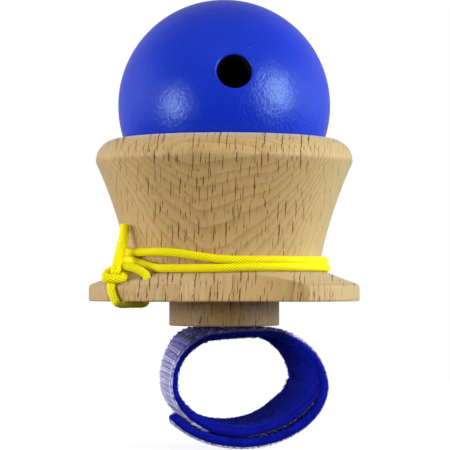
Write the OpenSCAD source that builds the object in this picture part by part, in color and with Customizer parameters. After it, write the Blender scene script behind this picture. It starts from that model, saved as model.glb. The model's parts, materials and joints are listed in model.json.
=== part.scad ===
// Cup and ball toy worn on a finger: a turned beech cup with a flanged base, a painted ball on a
// braided cord that winds round the cup's waist, and a hook-and-loop strap screwed under the base.
// Millimetres, +Z up along the turning axis. The origin is the middle of the finger opening.

/* [Ball] */
// Diameter of the painted ball
ball_d = 50; // [46:0.5:54]
// Diameter of the open bore in the ball
ball_bore_d = 8; // [7:0.25:10]
// Depth of the open bore, from its mouth at the ball's surface
ball_bore_depth = 18; // [12:0.5:20]
// Chamfer round the mouth of the bore
ball_bore_chamfer = 0.3; // [0.1:0.05:0.6]
// How far the mouth of the bore looks up from level
bore_tilt = 14; // [6:1:16]
// Compass direction that the mouth of the bore faces, from +X
bore_turn = -100.5; // [-120:0.5:-80]
// Diameter of the stop bead on the cord inside the ball
bead_d = 6; // [5:0.25:6.5]

/* [Cup] */
// Diameter of the cup at its widest
cup_d = 60.6; // [58:0.2:66]
// Height of the cup's lip above the underside of the plate
cup_h = 38; // [34:0.5:44]
// Radius of the rounded lip
lip_r = 5.3; // [3.5:0.1:6]
// Diameter of the mouth inside the lip
mouth_d = 50.6; // [48:0.2:52]
// Diameter of the ring that the ball sits on
seat_d = 42; // [38:0.5:44]
// Depth of that ring below the lip
seat_depth = 5.8; // [5:0.1:8]
// Depth of the hollow below the ring
hollow_depth = 18.5; // [16:0.5:20]
// Diameter of the waist where the cup meets the plate
waist_d = 44.4; // [42:0.2:47]
// Radius of the hollow curve from the waist up to the widest circle
flare_r = 110; // [80:5:200]

/* [Base plate] */
// Diameter of the round plate
plate_d = 63.7; // [62:0.1:70]
// Height of the plate at its edge
plate_edge_h = 3.7; // [2.5:0.1:5]
// Height of the plate at the waist
plate_waist_h = 7.5; // [6:0.1:9]
// Rounding of the plate's upper edge
plate_round = 0.9; // [0.3:0.1:1.5]
// Depth of the shallow notch cut into the plate's front edge
notch_depth = 6.4; // [4:0.1:7]
// Radius of the notch's curve
notch_r = 40; // [30:1:80]
// Compass direction that the notch faces, from +X
notch_turn = -97; // [-110:1:-85]
// Diameter of the round boss under the plate
boss_d = 25.9; // [24:0.1:30]
// Height of that boss
boss_h = 5.8; // [4:0.1:8]
// Rounding of the lower edges of the plate and the boss
edge_r = 0.4; // [0.2:0.1:0.8]
// Diameter of the cord's hole through the plate
cord_hole_d = 2.6; // [2.2:0.1:3]

/* [Cord] */
// Diameter of the braided cord
cord_d = 1.8; // [1.5:0.1:1.9]
// Height of the winding's first turn above the foot of the waist
winding_rise = -0.05; // [-0.1:0.05:1]
// Rise from one turn of the winding to the next
winding_pitch = 2.2; // [2.15:0.05:2.6]
// Number of turns round the waist
winding_turns = 2; // [1:1:3]

/* [Strap] */
// Width of the strap, along the finger
strap_w = 20; // [16:0.5:25]
// Thickness of the soft pile face
pile_t = 1.4; // [0.8:0.1:1.6]
// Thickness of the hook face with its backing
hook_t = 0.9; // [0.8:0.1:1.6]
// Width of the opening for the finger
finger_w = 31.6; // [26:0.2:36]
// Height of the opening for the finger
finger_h = 20; // [16:0.2:26]
// How far the middle of the loop lies to the right of the screw
loop_shift = 3.2; // [2:0.2:4]
// Flat length of the loop's top to the left of the screw
flat_left = 5; // [4.6:0.1:6]
// Flat length of the loop's top to the right of the screw
flat_right = 7; // [5:0.2:9]
// Angle that the outer end overlaps the inner end by
overlap_angle = 152; // [120:1:160]
// Extra stand-off of the outer end's tip
tail_lift = 0.2; // [0:0.1:3]
// Angle past the rightmost point where the outer end starts to peel
peel_angle = 35; // [20:1:50]

/* [Fastening] */
// Diameter of the screw's shank
screw_d = 3; // [2.5:0.1:3.5]
// Length of the screw below its head
screw_len = 14; // [12:0.5:16]
// Diameter of the screw's head
head_d = 6; // [5.4:0.1:7]
// Height of the screw's head
head_h = 1.3; // [1:0.1:1.6]
// Width of the cross slot in the head
slot_w = 0.8; // [0.6:0.1:1]
// Diameter of the washer under the head
washer_d = 8; // [7.2:0.1:8.8]
// Thickness of the washer
washer_t = 0.6; // [0.4:0.1:0.8]

/* [Clearances] */
// Gap between pieces that move on each other
run_gap = 0.12; // [0.08:0.01:0.2]
// Gap between the two layers of strap where they overlap
layer_gap = 0.3; // [0.25:0.05:0.5]
// Radial gap round the screw, in the strap and in the wood
screw_gap = 0.06; // [0.03:0.01:0.1]
// Gap between the cord and the wood it lies on
cord_gap = 0.15; // [0.1:0.05:0.3]

/* [Hidden] */
$fn = 96;
// Sides of the round section of a knot
cord_fn = 32;
// How far a cutting solid runs past what it cuts
past = 1;

BEECH = "burlywood";
BLUE = "royalblue";
YELLOW = "gold";
CLEAR = "lavender";
STEEL = "silver";

// Heights: the strap hangs from the boss, and the finger opening is centred on the origin
strap_t = pile_t + hook_t;
strap_top = finger_h / 2 + strap_t;
boss_z = strap_top + run_gap;
plate_z = boss_z + boss_h;

// Turned profile of the cup, in heights above the underside of the plate
belly_r = cup_d / 2;
belly_h = cup_h - lip_r;
lip_c = [belly_r - lip_r, belly_h];
lip_to = acos((mouth_d / 2 - lip_c[0]) / lip_r);
mouth = lip_c + lip_r * [cos(lip_to), sin(lip_to)];
waist_r = waist_d / 2;
plate_r = plate_d / 2;
plate_slope = atan2(plate_waist_h - plate_edge_h, plate_r - waist_r);
seat = [seat_d / 2, cup_h - seat_depth];
hollow_r = (pow(seat[0], 2) + pow(hollow_depth, 2)) / (2 * hollow_depth);
hollow_h = seat[1] - hollow_depth + hollow_r;

// The ball rests a running gap above the seat ring, or above the cone over it if that is closer
ball_r = ball_d / 2;
reach = ball_r + run_gap;
cone_slope = (mouth[1] - seat[1]) / (mouth[0] - seat[0]);
rest_r = max(seat[0], min(mouth[0], reach * sin(atan(cone_slope))));
ball_h = seat[1] + cone_slope * (rest_r - seat[0]) + sqrt(pow(reach, 2) - pow(rest_r, 2));
ball_z = plate_z + ball_h;
bore_dir = [cos(bore_tilt) * cos(bore_turn), cos(bore_tilt) * sin(bore_turn), sin(bore_tilt)];

// Along the bore, measured from the ball's centre towards the bore's mouth
bore_r = ball_bore_d / 2;
bore_mouth = sqrt(pow(ball_r, 2) - pow(bore_r, 2));
bore_step = bore_mouth - ball_bore_depth;
cord_r = cord_d / 2;
cord_way_r = cord_r + run_gap;
bead_r = bead_d / 2;
bead_room_r = bead_r + run_gap;
knot_ring_r = cord_d * 0.6;
knot_r = knot_ring_r + cord_r;
// The knot sits on the rim of the bead's hole, wholly below the open bore
knot_above_bead = sqrt(pow(bead_r, 2) - pow(cord_way_r, 2))
    + sqrt(pow(knot_r + run_gap, 2) - pow(cord_way_r, 2));
knot_at = bore_step - knot_r - run_gap;
bead_at = knot_at - knot_above_bead;

// The strap's middle line is an ellipse that grows by one layer a turn, with a flat top
layer_step = strap_t + layer_gap;
loop_a = (finger_w + strap_t) / 2;
loop_b = (finger_h + strap_t + layer_step / 2) / 2;
loop_z = strap_top - strap_t / 2 - loop_b;
top_at = 270;
bottom_at = 450;
peel_at = 360 + peel_angle;
tail_end = 360 + overlap_angle;
peel_gap = layer_gap / loop_a * 180 / PI;
strap_step = 6;
pile_in = -strap_t / 2;
pile_out = pile_in + pile_t;

// The washer presses on the backing, down in the pile, and the screw's head on the washer
washer_low = strap_top - hook_t - run_gap - washer_t;
screw_tip = washer_low + screw_len;

// The winding starts on the left of the cup, goes round by the back and climbs behind the tail
winding_start = 180;
climb_start = 310;
winding_rings = 24;
winding_end = 360 * winding_turns;
winding_h = plate_waist_h + winding_rise;

// Routes of the cord, in points chosen by eye, above the underside of the plate
anchor_route = [[-29.6, -11.1, 5.3], [-30.2, -11.6, 4.4], [-30.6, -12.3, 3.1], [-30.4, -13.1, 1.5],
    [-30, -13.75, -0.1], [-29, -14, -1.1], [-26.8, -14.3, -1.15], [-24.6, -14.9, -1.15],
    [-23, -15.3, -0.7], [-22.6, -15.4, 0.6], [-22.6, -15.4, 2.6], [-22.6, -15.4, 4.6],
    [-22.8, -15.3, 6.2], [-23.7, -14.8, 7.4], [-25.2, -13.8, 8], [-26.8, -12.5, 7.6],
    [-27.9, -11.5, 6.9]];
cord_hole_place = [-22.6, -15.4, 0];
knot_place = [-29.6, -11, 6];
tail_route = [[-28.9, -10.4, 6.1], [-28.8, -10, 8], [-28.1, -8.3, 11], [-27, -6.7, 14.3],
    [-25.7, -5.5, 17.8]];
start_route = [[-28.9, -9.9, 5.6], [-28.3, -8.2, 6.4], [-27.2, -5.6, 7.2], [-25.9, -2.8, 7.5]];
// Compass direction and height along the climb up the flare
climb_route = [[164, 13.5], [150, 14.6], [135, 16.8], [122, 19.8], [111, 23.4], [102, 27.2],
    [94, 30.4]];
// Compass direction and angle round the lip's section where the cord goes over it
lip_route = [[88, 8], [84, 30], [81.5, 55], [80, 78]];

// Outline helpers
function arc(c, r, from, to, n) = [for (i = [0:n]) let (a = from + (to - from) * i / n)
    c + r * [cos(a), sin(a)]];
// The arc of radius r from p to q whose middle bulges to the left of the way from p to q
function bow(p, q, r, n) = let (d = q - p, h = norm(d) / 2, left = [-d[1], d[0]] / norm(d),
    c = (p + q) / 2 - left * sqrt(r * r - h * h), from = atan2(p[1] - c[1], p[0] - c[0]))
    arc(c, r, from, from - 2 * asin(h / r), n);
function unit(v) = v / norm(v);
function smooth(u) = let (k = max(0, min(1, u))) k * k * (3 - 2 * k);
function reverse(p) = [for (i = [len(p) - 1:-1:0]) p[i]];

// Tube helpers: the normal is carried from ring to ring, so that the tube doesn't twist
function tangents(p) = [for (i = [0:len(p) - 1])
    unit(p[min(i + 1, len(p) - 1)] - p[max(i - 1, 0)])];
function square_to(n, t) = unit(n - (n * t) * t);
function normals(t) = [for (i = 0, n = square_to([0.3, 0.2, 1], t[0]); i < len(t); i = i + 1,
    n = i < len(t) ? square_to(n, t[i]) : n) n];

module tube(p, r, sides) {
    t = tangents(p);
    n = normals(t);
    last = len(p) - 1;
    points = [for (i = [0:last]) for (k = [0:sides - 1]) let (a = 360 * k / sides)
        p[i] + r * (cos(a) * n[i] + sin(a) * cross(t[i], n[i]))];
    walls = [for (i = [0:last - 1]) for (k = [0:sides - 1])
        let (a = i * sides + k, b = i * sides + (k + 1) % sides)
        each [[a, a + sides, b], [b, a + sides, b + sides]]];
    caps = [for (k = [1:sides - 2]) each [[0, k, k + 1],
        [last * sides, last * sides + k + 1, last * sides + k]]];
    polyhedron(points, concat(walls, caps));
}

module on_plate() translate([0, 0, plate_z]) children();

// Cup, plate and boss, turned from one piece of wood
function flare() = bow([waist_r, plate_waist_h], [belly_r, belly_h], flare_r, 14);

module cup_profile() {
    boss_r = boss_d / 2;
    shoulder_h = plate_edge_h - plate_round * (1 - sin(plate_slope)) / cos(plate_slope);
    polygon(concat(
        [[0, -boss_h]],
        arc([boss_r - edge_r, edge_r - boss_h], edge_r, -90, 0, 4),
        [[boss_r, 0]],
        arc([plate_r - edge_r, edge_r], edge_r, -90, 0, 4),
        arc([plate_r - plate_round, shoulder_h], plate_round, 0, 90 - plate_slope, 6),
        flare(),
        arc(lip_c, lip_r, 2, lip_to, 16),
        arc([0, hollow_h], hollow_r, asin((seat[1] - hollow_h) / hollow_r), -90, 24)));
}

module cup_base() color(BEECH) difference() {
    on_plate() rotate_extrude() cup_profile();
    on_plate() rotate(notch_turn) translate([plate_r - notch_depth + notch_r, 0, -past])
        cylinder(r = notch_r, h = plate_waist_h + 2 * past);
    on_plate() translate(cord_hole_place) translate([0, 0, -past])
        cylinder(d = cord_hole_d, h = plate_waist_h + 2 * past);
    translate([0, 0, boss_z - past])
        cylinder(r = screw_d / 2 + screw_gap, h = screw_tip + run_gap - boss_z + past);
}

// Ball and what is in it: +Z points out of the bore's mouth, from the ball's centre
module along_bore() translate([0, 0, ball_z]) rotate([0, 90 - bore_tilt, bore_turn]) children();

module ball() color(BLUE) along_bore() difference() {
    sphere(r = ball_r);
    translate([0, 0, bore_step]) cylinder(r = bore_r, h = ball_r);
    translate([0, 0, bore_mouth - ball_bore_chamfer])
        cylinder(r1 = bore_r, r2 = bore_r + 2 * ball_bore_chamfer, h = 2 * ball_bore_chamfer);
    translate([0, 0, bead_at - bead_room_r]) cylinder(r = bead_room_r, h = ball_r);
    translate([0, 0, -ball_r - past]) cylinder(r = cord_way_r, h = ball_r);
}

module stop_bead() color("peru") along_bore() translate([0, 0, bead_at]) difference() {
    sphere(r = bead_r);
    cylinder(r = cord_way_r, h = 2 * bead_d, center = true);
}

// Two crossed rings of cord, drawn tight
module knot() for (lean = [-40, 40]) rotate([lean, 0, 0])
    rotate_extrude() translate([knot_ring_r, 0]) circle(cord_r, $fn = cord_fn);

module ball_knot() color(YELLOW) along_bore() translate([0, 0, knot_at]) knot();

module cord_ball_run() color(YELLOW) along_bore() translate([0, 0, -reach])
    cylinder(r = cord_r, h = reach + knot_at);

// Cord round the waist: its distance from the axis where it lies on the plate or the flare at height h
flare_lean = atan2(belly_r - waist_r, belly_h - plate_waist_h);
function flare_lay_r(h) = lookup(h, [for (p = flare()) [p[1], p[0]]]) + cord_r / cos(flare_lean) + cord_gap;
function plate_lay_r(h) = waist_r
    + (plate_waist_h - h + cord_r / cos(plate_slope) + cord_gap) / tan(plate_slope);
function lay_r(h) = max(flare_lay_r(h), plate_lay_r(h));
function round_at(turn, r, h) = [r * cos(turn), r * sin(turn), h];
function turns_up(s) = floor(s / 360) + smooth((s % 360 - climb_start) / (360 - climb_start));
function winding_point(s) = let (h = winding_h + winding_pitch * turns_up(s))
    round_at(winding_start - s, lay_r(h), h);
winding_line = [for (i = [0:winding_rings * winding_turns]) winding_point(360 * i / winding_rings)];
// It runs straight for one diameter where the climb to the lip takes over
winding_out = [sin(winding_start - winding_end), -cos(winding_start - winding_end), 0];
lead_start = winding_point(winding_end) + cord_d * winding_out;

// Least gap between two points of the winding that lie half a turn or more apart
half_turn = winding_rings / 2;
winding_gap = min([for (i = [0:len(winding_line) - 1])
    for (k = [i + half_turn:1:len(winding_line) - 1])
        norm(winding_line[i] - winding_line[k])]) - cord_d;
echo(winding_gap = winding_gap);

module cord_winding() color(YELLOW) on_plate()
    tube(concat(start_route, winding_line, [lead_start]), cord_r, 6);

// Up the flare, over the lip and in to where the cord leaves the ball
lip_lay_r = lip_r + cord_r + cord_gap;
ball_place = [0, 0, ball_h];
lead_line = concat(
    [lead_start, lead_start + cord_d * winding_out],
    [for (p = climb_route) round_at(p[0], lay_r(p[1]), p[1])],
    [for (p = lip_route) round_at(p[0], lip_c[0] + lip_lay_r * cos(p[1]), belly_h + lip_lay_r * sin(p[1]))],
    [ball_place - (reach + cord_d) * bore_dir, ball_place - reach * bore_dir]);

module cord_lead() color(YELLOW) on_plate() tube(lead_line, cord_r, 8);

module cord_anchor_loop() color(YELLOW) on_plate() tube(anchor_route, cord_r, 8);

module cord_tail() color(YELLOW) on_plate() tube(tail_route, cord_r, 8);

module anchor_knot() color(YELLOW) on_plate() translate(knot_place) knot();

// Middle line of the strap at an angle that runs clockwise from the loop's rightmost point, where
// over_top says which end of the flat top is meant
function lift(q) = tail_lift * pow(max(0, q - bottom_at) / (tail_end - bottom_at), 2);
function grow(q) = layer_step * (q - top_at) / 360 + lift(q);
function strap_x(q, over_top) = let (a = loop_a + grow(q))
    q <= 180 || q >= 360 ? loop_shift + a * cos(q)
    : over_top ? flat_right + (a + loop_shift - flat_right) * cos(q)
    : -flat_left + (a - loop_shift - flat_left) * cos(q);
function strap_point(q, over_top) = [strap_x(q, over_top), loop_z - (loop_b + grow(q)) * sin(q)];
function strap_normal(q, over_top) =
    let (d = strap_point(q + 0.5, over_top) - strap_point(q - 0.5, over_top))
    q == top_at ? [0, 1] : unit([-d[1], d[0]]);
function strap_side(from, to, over_top, off) = let (n = ceil((to - from) / strap_step))
    [for (i = [0:n]) let (q = from + (to - from) * i / n)
        strap_point(q, over_top) + off * strap_normal(q, over_top)];

function loop_side(off) = concat(strap_side(0, top_at, false, off), strap_side(top_at, peel_at, true, off));
function tail_side(off) = strap_side(peel_at + peel_gap, tail_end, true, off);

module strap_band(inside, outside) rotate([90, 0, 0])
    linear_extrude(strap_w, center = true) polygon(concat(inside, reverse(outside)));

module screw_hole(r) translate([0, 0, strap_top - strap_t - past])
    cylinder(r = r, h = strap_t + 2 * past);

module strap_hook_loop() color(CLEAR) difference() {
    strap_band(loop_side(pile_out), loop_side(strap_t / 2));
    screw_hole(screw_d / 2 + screw_gap);
}

module strap_pile_loop() color(BLUE) difference() {
    strap_band(loop_side(pile_in), loop_side(pile_out));
    screw_hole(washer_d / 2 + layer_gap);
}

module strap_hook_tail() color(CLEAR) strap_band(tail_side(pile_out), tail_side(strap_t / 2));

module strap_pile_tail() color(BLUE) strap_band(tail_side(pile_in), tail_side(pile_out));

module strap_washer() color(STEEL) translate([0, 0, washer_low]) difference() {
    cylinder(d = washer_d, h = washer_t);
    translate([0, 0, -past]) cylinder(r = screw_d / 2 + screw_gap, h = washer_t + 2 * past);
}

module strap_screw() color(STEEL) translate([0, 0, washer_low]) {
    point_h = screw_d;
    head_edge_h = head_h / 3;
    slot_h = head_h / 2;
    difference() {
        rotate_extrude() polygon(concat(
            [[0, 0], [head_d / 2, 0]],
            bow([head_d / 2, -head_edge_h], [0, -head_h], head_d, 8)));
        for (turn = [0, 90]) rotate(turn) translate([0, 0, -head_h])
            cube([head_d * 0.6, slot_w, 2 * slot_h], center = true);
    }
    cylinder(d = screw_d, h = screw_len - point_h);
    translate([0, 0, screw_len - point_h]) cylinder(d1 = screw_d, d2 = screw_d / 6, h = point_h);
}

cup_base();
ball();
stop_bead();
ball_knot();
cord_ball_run();
cord_lead();
cord_winding();
anchor_knot();
cord_anchor_loop();
cord_tail();
strap_hook_loop();
strap_pile_loop();
strap_hook_tail();
strap_pile_tail();
strap_screw();
strap_washer();
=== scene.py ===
"""Looks of a cup and ball toy: turned beech, a painted ball, a braided cord and a hook-and-loop strap.

The script's own lengths are millimetres in the CAD frame. They become metres where a mesh is made.
"""
import json
import math
import random

import bpy
import numpy as np
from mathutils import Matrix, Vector, noise
from numpy.linalg import norm


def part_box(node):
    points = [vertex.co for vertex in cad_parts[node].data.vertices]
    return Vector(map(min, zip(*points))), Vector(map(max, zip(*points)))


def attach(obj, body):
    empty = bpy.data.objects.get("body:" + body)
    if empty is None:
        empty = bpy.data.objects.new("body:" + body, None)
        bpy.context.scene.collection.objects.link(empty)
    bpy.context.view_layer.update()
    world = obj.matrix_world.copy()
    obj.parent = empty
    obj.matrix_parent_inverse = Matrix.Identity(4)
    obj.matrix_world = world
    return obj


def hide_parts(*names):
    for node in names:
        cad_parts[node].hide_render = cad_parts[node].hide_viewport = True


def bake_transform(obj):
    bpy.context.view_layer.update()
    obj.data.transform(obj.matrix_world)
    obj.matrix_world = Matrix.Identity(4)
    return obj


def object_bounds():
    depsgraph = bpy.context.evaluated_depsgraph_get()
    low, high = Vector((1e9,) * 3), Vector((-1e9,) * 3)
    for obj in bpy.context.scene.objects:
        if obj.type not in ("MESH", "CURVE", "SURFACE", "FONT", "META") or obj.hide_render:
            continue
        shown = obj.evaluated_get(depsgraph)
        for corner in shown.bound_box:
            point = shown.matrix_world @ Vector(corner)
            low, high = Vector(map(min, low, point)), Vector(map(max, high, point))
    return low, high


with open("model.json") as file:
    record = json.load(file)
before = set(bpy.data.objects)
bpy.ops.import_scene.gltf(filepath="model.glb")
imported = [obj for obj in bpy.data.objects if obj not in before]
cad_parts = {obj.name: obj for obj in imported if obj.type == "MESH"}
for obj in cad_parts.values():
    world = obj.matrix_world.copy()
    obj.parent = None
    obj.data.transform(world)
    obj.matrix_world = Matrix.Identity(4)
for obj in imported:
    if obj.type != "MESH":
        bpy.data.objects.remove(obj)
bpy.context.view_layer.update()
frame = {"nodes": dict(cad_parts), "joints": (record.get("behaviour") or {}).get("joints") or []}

MM = 0.001

# Sizes of the pieces, as in the part's own source
BALL_R, BORE_R, BORE_DEPTH = 25.0, 4.0, 18.0
BEAD_ROOM_R, BEAD_ROOM_LOW = 3.12, -5.9
CORD_R, CORD_WAY_R = 0.9, 1.02
CUP_H, LIP_R, BELLY_R = 38.0, 5.3, 30.3
MOUTH_R, SEAT_R, SEAT_H, HOLLOW_DEPTH = 25.3, 21.0, 32.2, 18.5
WAIST_R, FLARE_R = 22.2, 110.0
PLATE_R, PLATE_EDGE_H, PLATE_WAIST_H, PLATE_ROUND = 31.85, 3.7, 7.5, 0.9
NOTCH_DEPTH, NOTCH_R, NOTCH_TURN = 6.4, 40.0, -97.0
BOSS_R, BOSS_H, EDGE_R = 12.95, 5.8, 0.4
SCREW_HOLE_R, SCREW_HOLE_TOP = 1.56, 6.7
CORD_HOLE_R, CORD_HOLE_PLACE = 1.3, (-22.6, -15.4)

# Places that the frame gives
joints = {j["name"]: j for j in frame["joints"]}
PLATE_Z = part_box("cup_base")[1].z / MM - CUP_H
BALL_PLACE = np.array(joints["ball_spin"]["pos_m"]) / MM
BORE_DIR = np.array(joints["ball_spin"]["axis"])
STRAP_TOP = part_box("strap_hook_loop")[1].z / MM
HALF_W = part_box("strap_hook_loop")[1].y / MM


# Shapes made from rows of points

CHORD_POWER = 0.999


def smooth(u):
    """0 below 0 and 1 above 1, with an even bend between."""
    k = np.clip(u, 0, 1)
    return k * k * (3 - 2 * k)


def unit(rows):
    """The same directions, each one long."""
    return rows / norm(rows, axis=-1)[..., None]


def arc(centre, r, start, end, count):
    """Points of an arc, with angles in degrees."""
    a = np.radians(np.linspace(start, end, count))
    return np.stack([centre[0] + r * np.cos(a), centre[1] + r * np.sin(a)], 1)


def segment(start, end, step):
    """Points of a straight line, without its end."""
    start, end = np.array(start, float), np.array(end, float)
    count = max(1, round(norm(end - start) / step))
    return start + (end - start) * np.arange(count)[:, None] / count


def along(line):
    """How far each point lies along a line."""
    steps = norm(np.diff(line, axis=0), axis=1)
    return np.concatenate([[0], np.cumsum(steps)])


def even(line, step):
    """The same line with its points at even steps."""
    s = along(line)
    t = np.linspace(0, s[-1], max(2, round(s[-1] / step) + 1))
    return np.stack([np.interp(t, s, line[:, k]) for k in range(line.shape[1])], 1)


def spline(points, step):
    """Even points of a smooth curve through the given ones."""
    p = np.array(points, float)
    s = along(p) ** CHORD_POWER
    slope = np.gradient(p, s, axis=0)
    t = np.linspace(0, s[-1], round(s[-1] / step * 4))
    i = np.clip(np.searchsorted(s, t, side="right") - 1, 0, len(s) - 2)
    h = (s[i + 1] - s[i])[:, None]
    u = ((t - s[i]) / h[:, 0])[:, None]
    curve = (p[i] * (1 + 2 * u) * (1 - u) ** 2 + p[i + 1] * u * u * (3 - 2 * u)
             + slope[i] * h * u * (1 - u) ** 2 - slope[i + 1] * h * u * u * (1 - u))
    return even(curve, step)


def grid_faces(rows, columns, wrap_rows=False, first=0):
    """Quads of a grid of points that is closed round each row, and from last row to first where asked."""
    faces = []
    for i in range(rows if wrap_rows else rows - 1):
        a, b = i * columns, (i + 1) % rows * columns
        for k in range(columns):
            n = (k + 1) % columns
            faces.append((first + a + k, first + a + n, first + b + n, first + b + k))
    return faces


def closed_faces(rows, columns, first=0):
    """The same for a tube of points, with a flat face at each end."""
    start, end = first, first + rows * columns
    return [*grid_faces(rows, columns, first=first), tuple(range(start, start + columns))[::-1],
            tuple(range(end - columns, end))]


def new_object(name, data):
    item = bpy.data.objects.new(name, data)
    bpy.context.scene.collection.objects.link(item)
    return item


def make_mesh(name, points, faces, *materials):
    """A new piece with soft edges, from points in millimetres."""
    mesh = bpy.data.meshes.new(name)
    mesh.from_pydata((np.asarray(points) * MM).tolist(), [], faces)
    for material in materials:
        mesh.materials.append(material)
    mesh.polygons.foreach_set("use_smooth", [True] * len(mesh.polygons))
    mesh.update()
    return new_object(name, mesh)


def set_shade(piece, values):
    """Stores one number a point, which the material reads as its shade."""
    attribute = piece.data.attributes.new("shade", "FLOAT", "POINT")
    attribute.data.foreach_set("value", np.asarray(values, np.float32))


# Camera at the photograph's view

PHOTO_PX = 450
FOCAL_PX = 2120
AXIS_PX, HORIZON_PX = 224.2, 284.0
CAMERA_AZIMUTH = -16.0
CAMERA_DISTANCE = 500.0
CAMERA_H = 3.98
SENSOR_MM = 36

view_turn = math.radians(CAMERA_AZIMUTH)
TOWARD = np.array([math.sin(view_turn), -math.cos(view_turn), 0])
RIGHT = np.array([math.cos(view_turn), math.sin(view_turn), 0])
UP = np.array([0, 0, 1])


def make_camera():
    data = bpy.data.cameras.new("camera")
    camera = new_object("camera", data)
    data.sensor_width = SENSOR_MM
    data.lens = FOCAL_PX / PHOTO_PX * SENSOR_MM
    place = TOWARD * CAMERA_DISTANCE + UP * (PLATE_Z + CAMERA_H)
    camera.location = Vector(place * MM)
    pitch = math.atan2(HORIZON_PX - PHOTO_PX / 2, FOCAL_PX)
    yaw = math.atan2(PHOTO_PX / 2 - AXIS_PX, FOCAL_PX)
    camera.rotation_euler = (math.pi / 2 + pitch, 0, view_turn - yaw)
    bpy.context.scene.camera = camera


make_camera()


# Nodes of materials. A socket knows its own tree.

def link(socket, value):
    if isinstance(value, bpy.types.NodeSocket):
        socket.id_data.links.new(value, socket)
    else:
        socket.default_value = value


def add(tree, kind, sockets=None, **props):
    """A node with its properties, and with its sockets set or linked by name or number."""
    node = tree.nodes.new(kind)
    for key, value in props.items():
        setattr(node, key, value)
    for key, value in (sockets or {}).items():
        link(node.inputs[key], value)
    return node


def maths(operation, *values, clamp=False):
    tree = next(v.id_data for v in values if isinstance(v, bpy.types.NodeSocket))
    sockets = dict(enumerate(values))
    return add(tree, "ShaderNodeMath", sockets, operation=operation, use_clamp=clamp).outputs[0]


def times(a, b):
    return maths("MULTIPLY", a, b)


def scaled(value, factor, more):
    return maths("MULTIPLY_ADD", value, factor, more)


def vector_maths(operation, a, b):
    return add(a.id_data, "ShaderNodeVectorMath", {0: a, 1: b}, operation=operation).outputs[0]


def parts_of(vector):
    return add(vector.id_data, "ShaderNodeSeparateXYZ", {0: vector}).outputs


def mix(share, a, b, blend="MIX"):
    sockets = {0: share, 6: a, 7: b}
    return add(share.id_data, "ShaderNodeMix", sockets, data_type="RGBA", blend_type=blend).outputs[2]


def ramp(value, low, high):
    """0 at low and 1 at high, with an even bend between."""
    sockets = {"Value": value, "From Min": low, "From Max": high}
    return add(value.id_data, "ShaderNodeMapRange", sockets, interpolation_type="SMOOTHSTEP").outputs[0]


def place_mm(tree):
    """Place on the piece, in millimetres."""
    place = add(tree, "ShaderNodeTexCoord").outputs["Object"]
    return vector_maths("MULTIPLY", place, [1 / MM] * 3)


def noise_at(place, size, detail=2.0, rough=0.5):
    """Noise whose grains have about that size, in millimetres, along each axis."""
    spread = [1 / s for s in size] if hasattr(size, "__len__") else [1 / size] * 3
    fitted = vector_maths("MULTIPLY", place, spread)
    sockets = {"Vector": fitted, "Scale": 1.0, "Detail": detail, "Roughness": rough}
    return add(place.id_data, "ShaderNodeTexNoise", sockets).outputs[0]


def shade_of(tree):
    return add(tree, "ShaderNodeAttribute", attribute_name="shade").outputs["Fac"]


def bump(height, depth):
    """Bump from a height of 0 to 1, with its depth in millimetres."""
    return add(height.id_data, "ShaderNodeBump", {"Height": height, "Distance": depth * MM}).outputs[0]


def set_shader(material, **sockets):
    """Sets or links sockets of a material's shader, and returns the material."""
    inputs = material.node_tree.nodes["Principled BSDF"].inputs
    for key, value in sockets.items():
        link(inputs[key.replace("_", " ")], value)
    return material


def new_material(name, **values):
    """A material and its tree, with the values that are the same all over it."""
    material = bpy.data.materials.new(name)
    material.use_nodes = True
    return set_shader(material, **values), material.node_tree


# Materials

def rays(place, cell, half_length, half_width, share):
    """Beech rays: thin upright lenses, one in each cell of a loose pattern, in a share of its cells."""
    fitted = vector_maths("MULTIPLY", place, [1 / c for c in cell])
    sockets = {"Vector": fitted, "Scale": 1.0, "Randomness": 0.8}
    cells = add(place.id_data, "ShaderNodeTexVoronoi", sockets).outputs
    x, _, z = parts_of(vector_maths("MULTIPLY", vector_maths("SUBTRACT", fitted, cells["Position"]), cell))
    chance = add(place.id_data, "ShaderNodeSeparateColor", {0: cells["Color"]}).outputs
    length = scaled(chance[0], half_length, half_length * 0.5)
    slim = maths("POWER", maths("DIVIDE", z, length), 2.0)
    width = scaled(chance[2], half_width * 0.8, half_width * 0.6)
    room = times(maths("SUBTRACT", 1.0, slim), width)
    inside = maths("SUBTRACT", room, maths("ABSOLUTE", x))
    lens = ramp(inside, -0.3 * half_width, 0.5 * half_width)
    return times(lens, times(ramp(chance[1], 1 - share, 1.2 - share), 0.9))


GRAIN_TURN, GRAIN_LEAN = 18.0, 0.05
PITH_AWAY, RING_WIDTH = 62.0, 0.95
# Size of a ray's cell, half its length and width, and the share of cells that hold one
BROAD_RAYS = (2.0, 30, 5.2), 2.4, 0.12, 0.8
FINE_RAYS = (1.3, 18, 3.0), 1.0, 0.065, 0.6
WOOD_DEEP, WOOD_PALE = (0.52, 0.32, 0.113, 1), (0.63, 0.43, 0.18, 1)
RING_COLOUR, STREAK_COLOUR = (0.35, 0.19, 0.055, 1), (0.40, 0.24, 0.08, 1)
FIBRE_COLOUR, RAY_COLOUR = (0.36, 0.21, 0.075, 1), (0.09, 0.032, 0.004, 1)
# The first tint is painted shade under the plate; the second is painted shade and yellow bounced light on the
# top of the plate
UNDER_PLATE_SHADE_TINT, PLATE_TOP_SHADE_TINT = (0.60, 0.54, 0.50, 1), (0.88, 0.77, 0.56, 1)


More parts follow.
